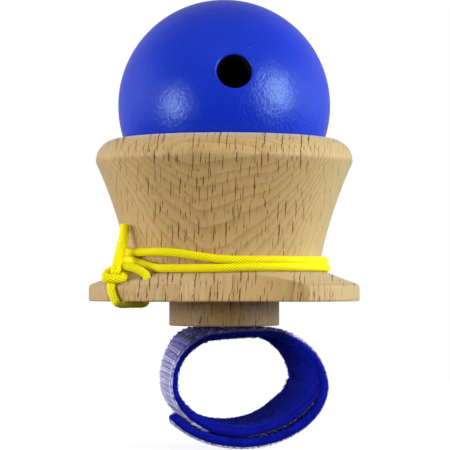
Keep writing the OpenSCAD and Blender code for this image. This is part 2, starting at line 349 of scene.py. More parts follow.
def wood_places(tree, turn):
    """Places in the wood, with its wavering grain: way across, depth from the pith, and height."""
    place = add(tree, "ShaderNodeMapping", {"Vector": place_mm(tree), "Rotation": turn}).outputs[0]
    sway = scaled(noise_at(place, (15, 15, 30), 1.0), 3.2, -1.6)
    shiver = scaled(noise_at(place, (1.2, 4.0, 0.8), 3.0), 0.5, -0.25)
    x, y, z = parts_of(place)
    tangent = maths("ADD", scaled(sway, 0.3, scaled(z, -GRAIN_LEAN, x)), shiver)
    return tangent, maths("SUBTRACT", maths("ADD", y, sway), PITH_AWAY), z


def growth_rings(tree, tangent, depth, streaks):
    """Uneven rings round a far pith, broken up by streaks."""
    ring_r = maths("POWER", maths("ADD", maths("POWER", tangent, 2.0), maths("POWER", depth, 2.0)), 0.5)
    uneven = noise_at(add(tree, "ShaderNodeCombineXYZ", {0: ring_r}).outputs[0], 2.6)
    ring_at = maths("FRACT", scaled(uneven, 2.2, maths("DIVIDE", ring_r, RING_WIDTH)))
    return times(maths("POWER", ring_at, 2.6), ramp(streaks, 0.15, 0.55))


def painted_wood_shade(colour, normal, z):
    """Painted shade: the wood is painted darker under the plate, where the plate's shade falls, and the top
    of the plate is painted warmer and darker for the shade and the cord's yellow light that fall on it.
    """
    colour = mix(ramp(z, PLATE_Z + 0.1, PLATE_Z - 0.9), colour, UNDER_PLATE_SHADE_TINT, "MULTIPLY")
    upward = ramp(parts_of(normal)[2], 0.55, 0.9)
    on_plate = ramp(z, PLATE_Z + PLATE_WAIST_H + 1, PLATE_Z + PLATE_WAIST_H)
    return mix(times(upward, on_plate), colour, PLATE_TOP_SHADE_TINT, "MULTIPLY")


def make_beech():
    """Turned beech: growth rings, ray flecks that are fainter where the rays lie flat, and fibres, with
    painted shade under and on top of the plate.
    """
    material, tree = new_material("beech", Sheen_Roughness=0.5, Sheen_Tint=(0.92, 1, 0.92, 1))
    turn = (0, 0, math.radians(GRAIN_TURN))
    tangent, depth, z = wood_places(tree, turn)
    wood = add(tree, "ShaderNodeCombineXYZ", {0: tangent, 1: depth, 2: z}).outputs[0]
    normal = add(tree, "ShaderNodeTexCoord").outputs["Normal"]
    facing = add(tree, "ShaderNodeMapping", {"Vector": normal, "Rotation": turn}, vector_type="VECTOR")
    broadside = maths("ABSOLUTE", parts_of(facing.outputs[0])[0])

    streaks = noise_at(wood, (0.7, 0.9, 14.0))
    fibres = noise_at(wood, (0.16, 0.34, 6.0), 3.0, 0.65)
    flecks = maths("MAXIMUM", rays(wood, *BROAD_RAYS), rays(wood, *FINE_RAYS))
    flecks = times(flecks, scaled(ramp(broadside, 0.5, 0.95), -0.72, 1.0))
    colour = mix(noise_at(wood, (8, 8, 30)), WOOD_DEEP, WOOD_PALE)
    colour = mix(times(growth_rings(tree, tangent, depth, streaks), 0.62), colour, RING_COLOUR)
    colour = mix(times(ramp(streaks, 0.5, 0.7), 0.2), colour, STREAK_COLOUR)
    colour = mix(times(ramp(fibres, 0.5, 0.72), 0.38), colour, FIBRE_COLOUR)
    colour = painted_wood_shade(mix(flecks, colour, RAY_COLOUR), normal, z)
    relief = maths("SUBTRACT", times(fibres, 0.35), times(flecks, 0.65))
    return set_shader(material, Base_Color=colour, Specular_IOR_Level=scaled(flecks, -0.38, 0.4),
                      Sheen_Weight=scaled(flecks, -0.35, 0.38), Roughness=scaled(fibres, 0.2, 0.38),
                      Normal=bump(relief, 0.07))


PAINT_DEEP, PAINT_PALE = (0.004, 0.024, 0.47, 1), (0.005, 0.030, 0.58, 1)
DUST_COLOUR = (0.3, 0.4, 0.8, 1)


def make_paint():
    """Satin gloss paint, slightly wavy, with orange peel and a few specks of dust."""
    material, tree = new_material("blue_paint", Roughness=0.3, Specular_IOR_Level=0.5,
                                  Specular_Tint=(0.62, 0.95, 1, 1))
    place = place_mm(tree)
    colour = mix(noise_at(place, 12.0), PAINT_DEEP, PAINT_PALE)
    dust = add(tree, "ShaderNodeTexVoronoi", {"Vector": place, "Scale": 0.16}).outputs
    chance = add(tree, "ShaderNodeSeparateColor", {0: dust["Color"]}).outputs[0]
    speck = times(maths("LESS_THAN", dust["Distance"], 0.035), maths("GREATER_THAN", chance, 0.55))
    colour = mix(times(speck, 0.35), colour, DUST_COLOUR)
    peel = noise_at(place, (0.62, 0.62, 0.9), 3.0, 0.6)
    height = maths("ADD", times(peel, 0.8), noise_at(place, 4.0, 1.0))
    return set_shader(material, Base_Color=colour, Normal=bump(height, 0.125))


# The deep colour is painted shade down between the strands
YARN_GROOVE_SHADE, YARN_BRIGHT = (0.45, 0.35, 0.0, 1), (0.98, 0.91, 0.002, 1)
# The last colour on the next line is painted shade for the cord under the plate
YARN_HAIR, YARN_IN_SHADE = (0.66, 0.53, 0.0, 1), (0.2, 0.17, 0.004, 1)


def make_cord_yarn():
    """Bright braided yarn, with painted shade down between its strands and where it lies under the plate, and
    a faint painted glow.
    """
    # The faint yellow emission is a painted glow that brightens the yarn
    material, tree = new_material(
        "cord_yarn", Roughness=0.55, Sheen_Weight=0.25, Sheen_Roughness=0.5, Sheen_Tint=(1, 0.9, 0.05, 1),
        Specular_IOR_Level=0.15, Emission_Color=(1, 0.9, 0, 1), Emission_Strength=0.02)
    hair = noise_at(place_mm(tree), (0.14, 0.14, 0.3))
    shade = shade_of(tree)
    colour = mix(ramp(shade, 0.05, 0.7), YARN_GROOVE_SHADE, YARN_BRIGHT)
    colour = mix(times(hair, 0.25), colour, YARN_HAIR)
    colour = mix(ramp(shade, -0.5, 0.0), YARN_IN_SHADE, colour)
    return set_shader(material, Base_Color=colour, Normal=bump(hair, 0.03))


PILE_DEEP, PILE_PALE, PILE_CLOUD = (0.001, 0.003, 0.20, 1), (0.005, 0.012, 0.42, 1), (0.001, 0.003, 0.18, 1)
# The first colour here is painted light, the second painted shade
PILE_LIT, PILE_SHADOWED = (0.007, 0.018, 0.60, 1), (0.001, 0.002, 0.07, 1)


def make_pile():
    """Looped nylon pile, painted paler or darker by its shade: painted light on its loops, its edges and the
    near part of its face, and painted shade on its edges by the boss.
    """
    material, tree = new_material(
        "pile", Roughness=0.8, Sheen_Weight=0.12, Sheen_Roughness=0.4, Sheen_Tint=(0.08, 0.14, 1, 1),
        Specular_IOR_Level=0.06)
    place = place_mm(tree)
    tuft = noise_at(place, 0.4, 3.0, 0.6)
    colour = mix(ramp(tuft, 0.25, 0.75), PILE_DEEP, PILE_PALE)
    colour = mix(times(ramp(noise_at(place, 4.0), 0.4, 0.7), 0.4), colour, PILE_CLOUD)
    shade = shade_of(tree)
    colour = mix(maths("MULTIPLY", shade, 0.5, clamp=True), colour, PILE_LIT)
    colour = mix(ramp(shade, -0.6, 0.0), PILE_SHADOWED, colour)
    return set_shader(material, Base_Color=colour, Normal=bump(tuft, 0.18))


# Near black is painted shade; the pale colour is partly the clear hooks' own whitish tone, partly painted
# light
HOOK_SHADOWED, HOOK_PALE = (0.004, 0.004, 0.045, 1), (0.82, 0.78, 0.99, 1)
SHEET_DEEP, SHEET_HAZE = (0.05, 0.04, 0.34, 1), (0.10, 0.09, 0.46, 1)


def make_hook_plastic():
    """Clear moulded plastic: blue shows through its sheet; its ribs and hooks are whitish, and by their shade
    are painted paler and made to glow faintly, painted light for the light they let through, or painted near
    black where shade falls.
    """
    material, tree = new_material(
        "hook_plastic", Roughness=0.35, IOR=1.49, Specular_IOR_Level=0.35, Emission_Color=(0.75, 0.75, 1, 1),
        Sheen_Weight=0.12, Sheen_Roughness=0.35, Sheen_Tint=(0.55, 0.55, 1, 1))
    haze = noise_at(place_mm(tree), (1.5, 3.0, 1.5))
    shade = shade_of(tree)
    base = mix(ramp(shade, 0.0, 0.07), HOOK_SHADOWED, mix(haze, SHEET_DEEP, SHEET_HAZE))
    # A faint glow, painted light for the light through the plastic
    glow = times(ramp(shade, 0.2, 1.0), 0.16)
    return set_shader(material, Base_Color=mix(shade, base, HOOK_PALE), Emission_Strength=glow,
                      Normal=bump(haze, 0.03))


STEEL_TONES = (0.50, 0.50, 0.50, 1), (0.68, 0.68, 0.70, 1)
# Near black: painted shade inside the ball's bore
BORE_SHADE_TONES = (0.003, 0.003, 0.006, 1), (0.012, 0.009, 0.012, 1)
BEAD_TONES = (0.16, 0.08, 0.03, 1), (0.36, 0.2, 0.09, 1)


def two_tone(name, size, tones, depth, detail=2.0, **values):
    """A material of two colours, mixed and raised by noise with grains of a size."""
    material, tree = new_material(name, **values)
    grain = noise_at(place_mm(tree), size, detail)
    return set_shader(material, Base_Color=mix(grain, *tones), Normal=bump(grain, depth)), grain


beech = make_beech()
paint = make_paint()
# The bore's wall is painted near black for the shade deep in the hole, with drill marks
bore_wall, _ = two_tone("bore_wall", (0.7, 0.25, 0.7), BORE_SHADE_TONES, 0.05, Roughness=0.85,
                        Specular_IOR_Level=0.1)
yarn = make_cord_yarn()
pile = make_pile()
hook_plastic = make_hook_plastic()
# Zinc-plated steel with fine turned lines
steel, turned_lines = two_tone("steel", (2.0, 2.0, 0.08), STEEL_TONES, 0.01, Metallic=1.0)
set_shader(steel, Roughness=scaled(turned_lines, 0.2, 0.25))
bead_wood, _ = two_tone("bead_wood", (0.25, 0.25, 3.0), BEAD_TONES, 0.05, 3.0, Roughness=0.5)


# Outline of the cup that the cord lies on, in heights above the underside of the plate

PLATE_SLOPE = math.atan2(PLATE_WAIST_H - PLATE_EDGE_H, PLATE_R - WAIST_R)
BELLY_H = CUP_H - LIP_R
LIP_CENTRE = (BELLY_R - LIP_R, BELLY_H)


def flare_line(count):
    """The hollow curve from the waist up to the cup's widest circle."""
    p, q = np.array([WAIST_R, PLATE_WAIST_H]), np.array([BELLY_R, BELLY_H])
    half = norm(q - p) / 2
    left = np.array([p[1] - q[1], q[0] - p[0]]) / (2 * half)
    centre = (p + q) / 2 - left * math.sqrt(FLARE_R ** 2 - half ** 2)
    start = math.degrees(math.atan2(*(p - centre)[::-1]))
    return arc(centre, FLARE_R, start, start - 2 * math.degrees(math.asin(half / FLARE_R)), count)


FLARE = flare_line(45)
FLARE_LEAN = math.atan2(BELLY_R - WAIST_R, BELLY_H - PLATE_WAIST_H)
CORD_GAP = 0.06


def lay_r(h):
    """Distance from the axis at which the cord lies on the plate or the flare at a height."""
    on_flare = np.interp(h, FLARE[:, 1], FLARE[:, 0]) + CORD_R / math.cos(FLARE_LEAN) + CORD_GAP
    below = PLATE_WAIST_H - h + CORD_R / math.cos(PLATE_SLOPE) + CORD_GAP
    return np.maximum(on_flare, WAIST_R + below / math.tan(PLATE_SLOPE))


def round_at(turn, r, h):
    a = np.radians(turn)
    return np.stack([r * np.cos(a), r * np.sin(a), h + 0 * a], -1)


# Two ways across the ball's bore
BORE_SIDE = np.cross(BORE_DIR, UP)
BORE_SIDE /= norm(BORE_SIDE)
BORE_OTHER = np.cross(BORE_DIR, BORE_SIDE)


# Cord: cut tail, knot, loop through the plate, knot again, winding, and the run up to the ball

KNOT_PLACE = np.array([-29.05, -10.92, 5.46])
# Steps to the right, up and toward the camera, from the middle of the knot
KNOT_CORE = [[0.35, 1.5, 0.35], [0.05, 0.35, -0.2], [-0.4, -0.9, 0.25]]
KNOT_WRAP = [[5.5, 1.75, 1.7], [3.4, 2.35, 0.2], [1.5, 2.25, -1.25], [-0.2, 1.75, -1.7], [-1.45, 1.0, -1.2],
             [-1.95, 0.3, -0.1], [-1.65, -0.2, 1.1], [-0.6, -0.4, 1.85], [0.7, -0.35, 2.0],
             [1.75, -0.2, 1.45], [2.1, 0.1, 0.4], [1.75, 0.45, -0.65], [1.1, 0.6, -1.9], [0.75, 1.1, -3.2]]
TAIL_ROUTE = [[-25.31, -5.64, 17.5], [-26.19, -6.64, 13.4], [-27.18, -8.02, 10.9], [-28.2, -9.9, 8.4]]
EDGE_ROUTE = [[-30.0, -12.0, 3.75], [-30.22, -12.87, 2.8], [-29.9, -13.6, 1.35], [-29.42, -14.45, -0.1],
              [-28.57, -15.05, -0.7], [-27.1, -15.43, -0.68], [-25.1, -15.59, -0.66], [-23.4, -15.56, -0.5],
              [-22.65, -15.42, 0.6], [-22.6, -15.4, 2.6], [-22.6, -15.4, 4.6], [-22.75, -15.3, 5.9]]
START_ROUTE = [[-27.2, -6.4, 6.9], [-26.6, -4.4, 7.3], [-25.8, -2.2, 7.5]]
# Where the winding climbs: from and to which angle along it, and how far
WINDING_H, WINDING_END, WINDING_STEP = 7.55, 720, 12.0
CLIMBS = [(120, 240, 0.3), (262, 296, -0.35), (318, 360, 2.3), (380, 460, -0.4), (640, 684, 1.9),
          (706, 770, 2.4)]
# Compass direction and height up the flare, and direction and angle round the lip's section
CLIMB_ROUTE = [(163, 13.0), (150, 14.9), (135, 17.0), (122, 19.8), (111, 23.4), (102, 27.2), (94, 30.4)]
LIP_ROUTE = [(88, 8), (84, 30), (81.5, 55), (80, 78)]
# Places along the bore, from the ball's middle
BORE_ROUTE = (-27.0, -25.0, -19.0, -12.0, -6.0, -1.0, 2.2)
BEAD_KNOT_FROM, BEAD_KNOT_LENGTH, BEAD_KNOT_R, BEAD_KNOT_TURNS = 3.7, 0.9, 1.05, 1.6
# The run to the ball is a piece of its own, from a little below the lip's widest circle
SPLIT_AFTER, SPLIT_H = 300, 14.9


def knot_points(steps):
    return [KNOT_PLACE + RIGHT * r + UP * u + TOWARD * t for r, u, t in steps]


def winding_h(s):
    return WINDING_H + sum(rise * smooth((s - a) / (b - a)) for a, b, rise in CLIMBS)


def cord_route():
    """Points of the whole cord, in heights above the underside of the plate."""
    turns = np.arange(0, WINDING_END, WINDING_STEP)
    heights = winding_h(turns)
    winding = round_at(180 - turns, lay_r(heights), heights)
    climb = [round_at(t, lay_r(h), h) for t, h in CLIMB_ROUTE]
    lip_lay = LIP_R + CORD_R + CORD_GAP
    lip = [round_at(t, *arc(LIP_CENTRE, lip_lay, a, a, 1)[0]) for t, a in LIP_ROUTE]
    ball = BALL_PLACE - UP * PLATE_Z
    run = [ball + BORE_DIR * a for a in BORE_ROUTE]
    turn = 2 * math.pi * BEAD_KNOT_TURNS
    coil = [ball + BORE_DIR * (BEAD_KNOT_FROM + BEAD_KNOT_LENGTH * u)
            + BEAD_KNOT_R * (BORE_SIDE * math.cos(turn * u) + BORE_OTHER * math.sin(turn * u))
            for u in np.linspace(0, 1, 12)]
    return [*TAIL_ROUTE, *knot_points(KNOT_CORE), *EDGE_ROUTE, *knot_points(KNOT_WRAP), *START_ROUTE,
            *winding, *climb, *lip, *run, *coil]


BRAID_CARRIERS = 8
BRAID_LEAD = 7.2
BRAID_DEPTH, BRAID_MIDDLE, LOOSE_HEIGHT = 0.26, 0.62, 0.74
CORD_SIDES = 32
CORD_STEP = 0.14
CUT_BULGE, CUT_SHADE = 0.15, 0.3


def carried_normals(tangents):
    """Normals carried along a line without twist."""
    n = np.cross(tangents[0], UP)
    normals = []
    for t in tangents:
        n = n - t * np.dot(n, t)
        n = n / norm(n)
        normals.append(n)
    return np.array(normals)


def strand_crown(x):
    """Height across a strand, from 0 at its edge to 1 along its middle."""
    return 1 - (2 * np.abs(x - np.round(x))) ** 2


def braid_height(turn, s):
    """Height of a braid, where each strand goes over and under those that cross it."""
    a = BRAID_CARRIERS * (turn + s / BRAID_LEAD)
    b = BRAID_CARRIERS * (turn - s / BRAID_LEAD)
    over = np.cos(math.pi * a) * np.cos(math.pi * b)
    return np.maximum(strand_crown(a) * (0.55 + 0.45 * over), strand_crown(b) * (0.55 - 0.45 * over))


def braided_cord(name, line, start_s, swell=1.0, flatten=1.0, loose=0.0, painted_shade=0.0):
    """A braided tube along a line: swelled, flattened, loosened or darkened by painted shade, by a share at
    each point.
    """
    tangents = unit(np.gradient(line, axis=0))
    normals = carried_normals(tangents)
    sides = np.cross(tangents, normals)
    s = along(line) + start_s

    def column(share):
        return np.broadcast_to(share, s.shape)[:, None]

    turn = np.arange(CORD_SIDES) / CORD_SIDES
    height = braid_height(turn[None, :], s[:, None])
    height += column(loose) * (LOOSE_HEIGHT - height)
    r = (CORD_R + BRAID_DEPTH * (height - BRAID_MIDDLE)) * column(swell)
    a = (2 * math.pi * turn)[None, :, None]
    off = r[..., None] * (np.cos(a) * normals[:, None] + np.sin(a) * sides[:, None])
    off[..., 2] *= column(flatten)
    points = (line[:, None] + off).reshape(-1, 3)
    faces = grid_faces(len(line), CORD_SIDES)
    ends = np.stack([line[0] - tangents[0] * CUT_BULGE, line[-1] + tangents[-1] * CUT_BULGE])
    for end, first in enumerate((0, len(points) - CORD_SIDES)):
        for k in range(CORD_SIDES):
            edge = (first + k, first + (k + 1) % CORD_SIDES)
            faces.append((len(points) + end, *(edge[::-1] if end == 0 else edge)))
    piece = make_mesh(name, np.concatenate([points, ends]), faces, yarn)
    # The shade is the braid's height, less the painted shade under the plate
    set_shade(piece, np.concatenate([(height - column(painted_shade)).ravel(), [CUT_SHADE] * 2]))
    return piece


TAIL_LENGTH, TAIL_SWELL, TAIL_LOOSE = 16.0, 0.22, 0.75
KNOT_REACH, KNOT_SWELL = 3.0, 0.14
# The second value here darkens the cord under the plate with painted shade
UNDER_PLATE_FLAT, CORD_SHADE_UNDER_PLATE, PLATE_LOOP_END = 0.74, 1.2, 60


def main_swell(line, s):
    """How much thicker the cord is along its cut tail, which has loosened, and in the knot."""
    in_knot = smooth((KNOT_REACH - norm(line - KNOT_PLACE, axis=1)) / 1.2)
    return 1 + np.maximum(TAIL_SWELL * smooth((TAIL_LENGTH - s) / 5.0), KNOT_SWELL * in_knot)


def make_cords():
    line = spline(cord_route(), CORD_STEP)
    s = along(line)
    under = smooth(-line[:, 2] / CORD_R) * (s < PLATE_LOOP_END)
    flat = 1 - (1 - UNDER_PLATE_FLAT) * under
    loose = TAIL_LOOSE * smooth((TAIL_LENGTH - 2.0 - s) / 4.0)
    swell = main_swell(line, s)
    split = int(np.argmax((s > SPLIT_AFTER) & (line[:, 2] > SPLIT_H)))
    line[:, 2] += PLATE_Z
    main_line, lead_line = line[:split + 1], line[split:]
    shares = [share[:split + 1] for share in (swell, flat, loose, CORD_SHADE_UNDER_PLATE * under)]
    main = braided_cord("cord_main", main_line, 0, *shares)
    lead = braided_cord("cord_to_ball", lead_line, s[split])

    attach(main, "cup")
    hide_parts("cord_winding", "cord_anchor_loop", "cord_tail", "anchor_knot")
    at_ball = np.argmin(norm(lead_line - (BALL_PLACE - BORE_DIR * BALL_R), axis=1))
    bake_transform(lead)
    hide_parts("cord_lead", "cord_ball_run", "ball_knot")


make_cords()


# Cup, plate and boss

CUP_SEGMENTS = 480
NOTCH_EDGE_R, NOTCH_BLEND, NOTCH_FADE = 0.3, 0.12, 0.8
SURFACE_STEP = 0.6
DRILL_SIDES, DRILL_HEIGHTS = 40, (-2, 9)


def rim_radius(turn):
    """Distance from the axis to the plate's edge with its shallow notch, and to the notch alone."""
    away = PLATE_R - NOTCH_DEPTH + NOTCH_R
    d = np.radians(turn - NOTCH_TURN)
    inside = NOTCH_R ** 2 - (away * np.sin(d)) ** 2
    near = away * np.cos(d) - np.sqrt(np.maximum(inside, 0))
    cut = np.where((inside > 0) & (np.cos(d) > 0), near, 2 * PLATE_R)
    low = np.minimum(cut, PLATE_R)
    both = np.exp((low - cut) / NOTCH_BLEND) + np.exp((low - PLATE_R) / NOTCH_BLEND)
    return low - NOTCH_BLEND * np.log(both), cut


def rows_between(start, end, shares):
    """Rows of (distance, height) at shares of the way from one row to another."""
    return [[a + (b - a) * u for a, b in zip(start, end)] for u in shares]


def rows_rounded(r, h, size, angles):
    """Rows of a rounded edge, whose middle and size may differ from place to place."""
    return [(r + size * math.cos(a), h + size * math.sin(a)) for a in angles]


def boss_rows():
    """Rows from the screw's hole over the boss to the plate."""
    return [(0.001, SCREW_HOLE_TOP), (SCREW_HOLE_R, SCREW_HOLE_TOP - 0.5),
            *segment((SCREW_HOLE_R, SCREW_HOLE_TOP - 0.6), (SCREW_HOLE_R, 0.3 - BOSS_H), 1.5),
            *segment((SCREW_HOLE_R + 0.3, -BOSS_H), (BOSS_R - EDGE_R, -BOSS_H), SURFACE_STEP),
            *arc((BOSS_R - EDGE_R, EDGE_R - BOSS_H), EDGE_R, -90, 0, 5),
            *segment((BOSS_R, EDGE_R - BOSS_H + 0.3), (BOSS_R, -0.25), SURFACE_STEP),
            (BOSS_R, -0.25), (BOSS_R + 0.08, -0.08), (BOSS_R + 0.3, 0)]


def plate_rows(turn):
    """Rows over the plate's underside, its edge with the notch, and its top up to the waist."""
    rim, cut = rim_radius(turn)
    in_notch = smooth((PLATE_R - cut) / NOTCH_FADE)
    edge_round = PLATE_ROUND + (NOTCH_EDGE_R - PLATE_ROUND) * in_notch
    shoulder = edge_round * (1 - math.sin(PLATE_SLOPE)) / math.cos(PLATE_SLOPE)
    top = PLATE_EDGE_H + (PLATE_R - rim) * math.tan(PLATE_SLOPE) - shoulder
    edge = rows_rounded(rim - edge_round, top, edge_round, np.linspace(0, math.pi / 2 - PLATE_SLOPE, 8))
    return [*rows_between((BOSS_R + 0.6, 0), (rim - EDGE_R, 0), np.linspace(0, 1, 26)),
            *rows_rounded(rim - EDGE_R, EDGE_R, EDGE_R, np.radians([-67.5, -45, -22.5, 0])),
            *rows_between((rim, EDGE_R), (rim, top), np.linspace(0.12, 0.9, 8)), *edge,
            *rows_between(edge[-1], (WAIST_R + 0.25, PLATE_WAIST_H - 0.1), np.linspace(0, 1, 22)[1:-1])]


def bowl_rows():
    """Rows up the flare, over the lip and down to the bottom of the hollow."""
    lip = arc(LIP_CENTRE, LIP_R, 2, math.degrees(math.acos((MOUTH_R - LIP_CENTRE[0]) / LIP_R)), 30)
    hollow_r = (SEAT_R ** 2 + HOLLOW_DEPTH ** 2) / (2 * HOLLOW_DEPTH)
    hollow_h = SEAT_H - HOLLOW_DEPTH + hollow_r
    hollow_from = math.degrees(math.asin((SEAT_H - hollow_h) / hollow_r))
    return [*FLARE[1:-1], *lip, *segment(lip[-1], (SEAT_R, SEAT_H), SURFACE_STEP)[1:],
            *arc((0, hollow_h), hollow_r, hollow_from, -89.99, 46)]


def bored(piece, cutter):
    """Cuts one mesh out of another for good, and removes the cutter."""
    cut = piece.modifiers.new("bore", "BOOLEAN")
    cut.object = cutter
    cut.solver = "EXACT"
    done = bpy.data.meshes.new_from_object(piece.evaluated_get(bpy.context.evaluated_depsgraph_get()))
    piece.modifiers.clear()
    piece.data = done
    bpy.data.objects.remove(cutter)


def ringed_mesh(name, sides, rows, place, material):
    """A closed mesh of rings round an upright axis, with a flat face at each end."""
    a = np.radians(np.arange(sides) * 360 / sides)
    points = [np.stack([place[0] + r * np.cos(a), place[1] + r * np.sin(a), h + 0 * a + PLATE_Z], 1)
              for r, h in rows]
    return make_mesh(name, np.concatenate(points), closed_faces(len(rows), sides), material)


def make_cup():
    turn = np.arange(CUP_SEGMENTS) * 360 / CUP_SEGMENTS
    rows = [*boss_rows(), *plate_rows(turn), *bowl_rows()]
    cup = ringed_mesh("cup_turned", CUP_SEGMENTS, rows, (0, 0), beech)
    drill = [(CORD_HOLE_R, h) for h in DRILL_HEIGHTS]
    bored(cup, ringed_mesh("drill", DRILL_SIDES, drill, CORD_HOLE_PLACE, beech))
    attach(cup, "cup")
    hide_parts("cup_base")


make_cup()


# Ball, turned about its bore

BALL_SEGMENTS = 288
MOUTH_ROUND = 0.35
EXIT_ROUND = 0.4
PAINT_IN_BORE = 0.5
WALL_STEPS = 2.0, 0.7, 1.0, 0.3, 0.7, 0.25
BALL_UNEVEN, SKIN_DEPTH = 0.02, 0.2


def rounded_hole(r, round_r):
    """Where a sphere's surface turns into the wall of a hole along its axis: the middle of that turn,
    and the angle from the axis at which it leaves the sphere."""
    out = r + round_r
    height = math.sqrt((BALL_R - round_r) ** 2 - out ** 2)
    return (out, height), math.degrees(math.asin(out / (BALL_R - round_r)))


def ball_outline():
    """(distance from the bore's axis, place along it) round the ball's section, and how many are painted."""
    mouth, mouth_angle = rounded_hole(BORE_R, MOUTH_ROUND)
    leave, leave_angle = rounded_hole(CORD_WAY_R, EXIT_ROUND)
    skin = arc((0, 0), BALL_R, 90 - mouth_angle, leave_angle - 90, 150)
    into_exit = arc((leave[0], -leave[1]), EXIT_ROUND, leave_angle - 90, -180, 7)
    into_mouth = arc(mouth, MOUTH_ROUND, 180, 90 - mouth_angle, 8)[:-1]
    step = math.sqrt(BALL_R ** 2 - BORE_R ** 2) - BORE_DEPTH
    paint_end = mouth[1] - PAINT_IN_BORE
    corners = [(CORD_WAY_R, -leave[1]), (CORD_WAY_R, BEAD_ROOM_LOW), (BEAD_ROOM_R, BEAD_ROOM_LOW),
               (BEAD_ROOM_R, step), (BORE_R, step), (BORE_R, paint_end), (BORE_R, mouth[1])]
    wall = [segment(*ends) for ends in zip(corners, corners[1:], WALL_STEPS)]
    painted = np.concatenate([into_mouth, skin, into_exit[1:]])
    return np.concatenate([painted, np.concatenate(wall)[1:]]), len(painted)


def make_ball():
    outline, painted = ball_outline()
    a = 2 * math.pi * np.arange(BALL_SEGMENTS) / BALL_SEGMENTS
    ring = np.cos(a)[:, None] * BORE_SIDE + np.sin(a)[:, None] * BORE_OTHER
    points = outline[:, 0][:, None, None] * ring + (outline[:, 1][:, None] * BORE_DIR)[:, None]
    flat = points.reshape(-1, 3)
    wave = np.array([noise.noise(Vector(p * 0.12)) + 0.4 * noise.noise(Vector(p * 0.5)) for p in flat])
    outside = norm(flat, axis=1) > BALL_R - SKIN_DEPTH
    flat = flat * (1 + BALL_UNEVEN / BALL_R * wave * outside)[:, None] + BALL_PLACE
    faces = grid_faces(len(outline), BALL_SEGMENTS, wrap_rows=True)
    ball = make_mesh("ball_painted", flat, [f[::-1] for f in faces], paint, bore_wall)
    row = np.arange(len(faces)) // BALL_SEGMENTS
    ball.data.polygons.foreach_set("material_index", (row >= painted).astype(np.int32))
    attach(ball, "ball")
    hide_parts("ball")


make_ball()


# Strap: one band of pile backed by hooks, laid round in a loop of about a turn and a half

STRAP_T = 2.3
FINGER_W, FINGER_H = 31.6, 20.0
LOOP_SHIFT, FLAT_LEFT, FLAT_RIGHT = 3.2, 5.0, 7.0
LAYER_STEP = 2.6
TAIL_LIFT = 0.35
PEEL_AT, TAIL_END, TOP_AT, BOTTOM_AT = 395.0, 512.0, 270.0, 450.0
LOOP_A = (FINGER_W + STRAP_T) / 2
LOOP_B = (FINGER_H + STRAP_T + LAYER_STEP / 2) / 2
LOOP_Z = STRAP_TOP - STRAP_T / 2 - LOOP_B
# The loop is wider and lower toward its near edge, which also hangs a little from the boss
FLARE_X, FLARE_FAR, FLARE_Z, FLARE_SHIFT, FLARE_MIDDLE = 0.075, -0.6, 0.038, 0.4, 3.6
FLARE_TOP_SHARE, FLARE_REACH = 0.35, 6.0
HANG, HANG_AT, HANG_WIDTH, HANG_ABOVE = 1.0, -9.0, 8.0, 1.0
STRAP_STEP = 0.35
# Round the loop in degrees: heights off its middle of the pile's face, the pile's back and the hooks' tips
LAYERS = [(0, 1.3, 1.4, 1.5), (12, 0.55, 1.05, 1.5), (26, -0.65, 0.6, 1.5), (38, -1.15, 0.4, 1.5),
          (72, -1.15, 0.45, 1.5), (95, -1.15, 0.92, 1.5), (122, -1.15, 0.92, 1.5), (138, -1.15, 0.65, 1.45),
          (160, -0.95, 0.42, 1.2), (178, -0.75, 0.25, 1.05), (215, -0.95, 0.1, 1.0), (240, -1.15, 0.1, 1.1),
          (300, -1.15, 0.1, 1.1), (325, -1.15, 0.2, 0.95), (352, -1.15, 0.5, 1.15), (365, -1.15, 0.7, 1.3),
          (512, -1.15, 0.7, 1.3)]
FACE, BACK, TIPS = 1, 2, 3
# Thickness of the hooks' clear sheet where the strap lies on it, and where it is free
SHEET_T, FREE_SHEET_T = 0.22, 0.42
# The outer end is rounded off, and cut askew, shorter at its far edge
END_ROUND, END_SKEW, SKEW_FROM = 1.1, 3.0, 450.0
DENT_R, DENT_EDGE, DENT_LEVEL = 4.4, 0.9, 0.2


def strap_line():
    """Middle line of the strap as (across, up), with the angle round the loop of each of its points."""
    def grow(q):
        lift = TAIL_LIFT * (np.maximum(0, q - BOTTOM_AT) / (TAIL_END - BOTTOM_AT)) ** 2
        return LAYER_STEP * (q - TOP_AT) / 360 + lift

    def point(q, middle, reach):
        a = np.radians(q)
        return np.stack([middle + reach * np.cos(a), LOOP_Z - (LOOP_B + grow(q)) * np.sin(a)], 1)

    low = np.linspace(0, 180, 240, endpoint=False)
    left = np.linspace(180, 270, 120)
    right = np.linspace(270, 360, 120, endpoint=False)
    outer = np.linspace(360, TAIL_END, 220)
    line = np.concatenate([
        point(low, LOOP_SHIFT, LOOP_A + grow(low)),
        point(left, -FLAT_LEFT, LOOP_A + grow(left) - LOOP_SHIFT - FLAT_LEFT),
        point(right, FLAT_RIGHT, LOOP_A + grow(right) + LOOP_SHIFT - FLAT_RIGHT),
        point(outer, LOOP_SHIFT, LOOP_A + grow(outer))])
    return line, np.concatenate([low, left, right, outer])


def flared(x, y, z):
    """Leans a point of the plain loop to the way the real loop stands."""
    near = (1 - y / HALF_W) / 2
    wide = (x - FLARE_MIDDLE) * FLARE_X * (FLARE_FAR + (1 - FLARE_FAR) * near) - FLARE_SHIFT * near
    low = smooth((STRAP_TOP - z) / FLARE_REACH)
    high = smooth((z - HANG_ABOVE) / FLARE_REACH)
    hang = HANG * near ** 2 * np.exp(-((x - HANG_AT) / HANG_WIDTH) ** 2) * high
    return np.stack([x + wide * (FLARE_TOP_SHARE + (1 - FLARE_TOP_SHARE) * low), y + 0 * x,
                     STRAP_TOP - (STRAP_TOP - z) * (1 + FLARE_Z * near) - hang], -1)


